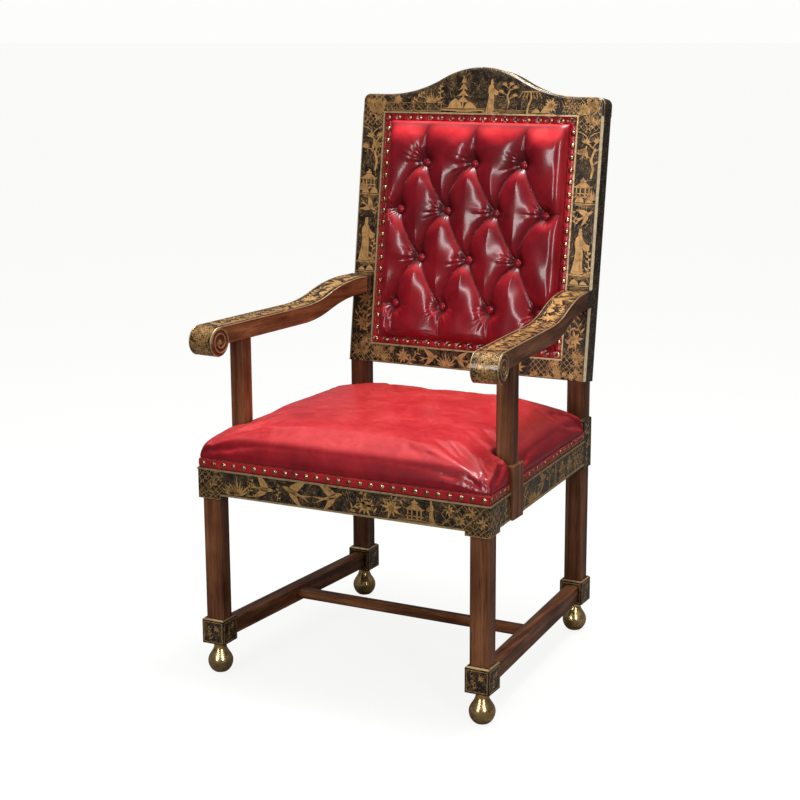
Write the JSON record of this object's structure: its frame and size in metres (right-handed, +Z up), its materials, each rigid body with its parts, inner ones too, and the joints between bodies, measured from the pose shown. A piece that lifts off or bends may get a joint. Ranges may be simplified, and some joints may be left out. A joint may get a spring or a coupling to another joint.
{
  "type": "upholstered open armchair",
  "caption": "Open armchair with a japanned frame and seat rails, chamfered legs on brass feet, scrolled arms, a close-nailed stuffed seat and a deep-buttoned leather back.",
  "frame": {"origin": "on the floor, at the middle of the chair's width and depth", "axes": "+X to the right-hand side as seen from the front, -Y to the front, +Z up"},
  "size_m": [0.6462, 0.6738, 1.1637],
  "materials": {
    "foot_brass": "warm polished brass with soft wear",
    "nail_brass": "bright domed brass",
    "japanned_wood": "black-brown japanning with raised gilt ornament, semi-gloss",
    "mahogany": "polished mahogany, satin",
    "gilding": "worn gilding on wood",
    "seat_leather": "glossy crimson leather",
    "back_leather": "glossy deep crimson leather",
    "tufted_leather_pad": "deep-buttoned stuffed leather pad, glossy deep crimson",
    "curled_hair_stuffing": "matt curled hair",
    "linen_webbing": "coarse woven linen",
    "hessian": "coarse jute cloth",
    "screw_steel": "plain steel",
    "beech": "plain planed beech, or oak, unpolished"
  },
  "bodies": {
    "root": {"arm_bracket_left": "mahogany", "arm_bracket_right": "mahogany", "arm_left": "mahogany", "arm_post_left": "mahogany", "arm_post_right": "mahogany", "arm_rear_block_left": "japanned_wood", "arm_rear_block_right": "japanned_wood", "arm_right": "mahogany", "arm_volutes": "gilding", "back_border_band": "back_leather", "back_bottom_rail": "japanned_wood", "back_buttons": "back_leather", "back_cushion": "tufted_leather_pad", "back_frame_dowels": "beech", "back_gilt_fillet": "gilding", "back_nails": "nail_brass", "back_stile_left": "japanned_wood", "back_stile_right": "japanned_wood", "back_strainer": "beech", "back_stuffing": "curled_hair_stuffing", "back_web": "linen_webbing", "brace_screws": "screw_steel", "corner_braces": "beech", "crest_rail": "japanned_wood", "cross_stretcher": "mahogany", "foot_front_left": "foot_brass", "foot_front_right": "foot_brass", "foot_rear_left": "foot_brass", "foot_rear_right": "foot_brass", "front_leg_left": "mahogany", "front_leg_right": "mahogany", "outside_back_cover": "back_leather", "outside_back_nails": "nail_brass", "plinth_block_front_left": "japanned_wood", "plinth_block_front_right": "japanned_wood", "plinth_block_rear_left": "japanned_wood", "plinth_block_rear_right": "japanned_wood", "rail_beads": "gilding", "rear_corner_block_left": "japanned_wood", "rear_corner_block_right": "japanned_wood", "rear_post_left": "mahogany", "rear_post_right": "mahogany", "seat_border_band": "seat_leather", "seat_cover": "seat_leather", "seat_hessian": "hessian", "seat_nails": "nail_brass", "seat_rail_front": "japanned_wood", "seat_rail_rear": "beech", "seat_rail_side_left": "japanned_wood", "seat_rail_side_right": "japanned_wood", "seat_stuffing": "curled_hair_stuffing", "seat_webbing": "linen_webbing", "side_stretcher_left": "mahogany", "side_stretcher_right": "mahogany", "tacking_rail_front": "beech", "tacking_rail_rear": "beech", "tacking_rail_side_left": "beech", "tacking_rail_side_right": "beech"}
  },
  "joints": []
}
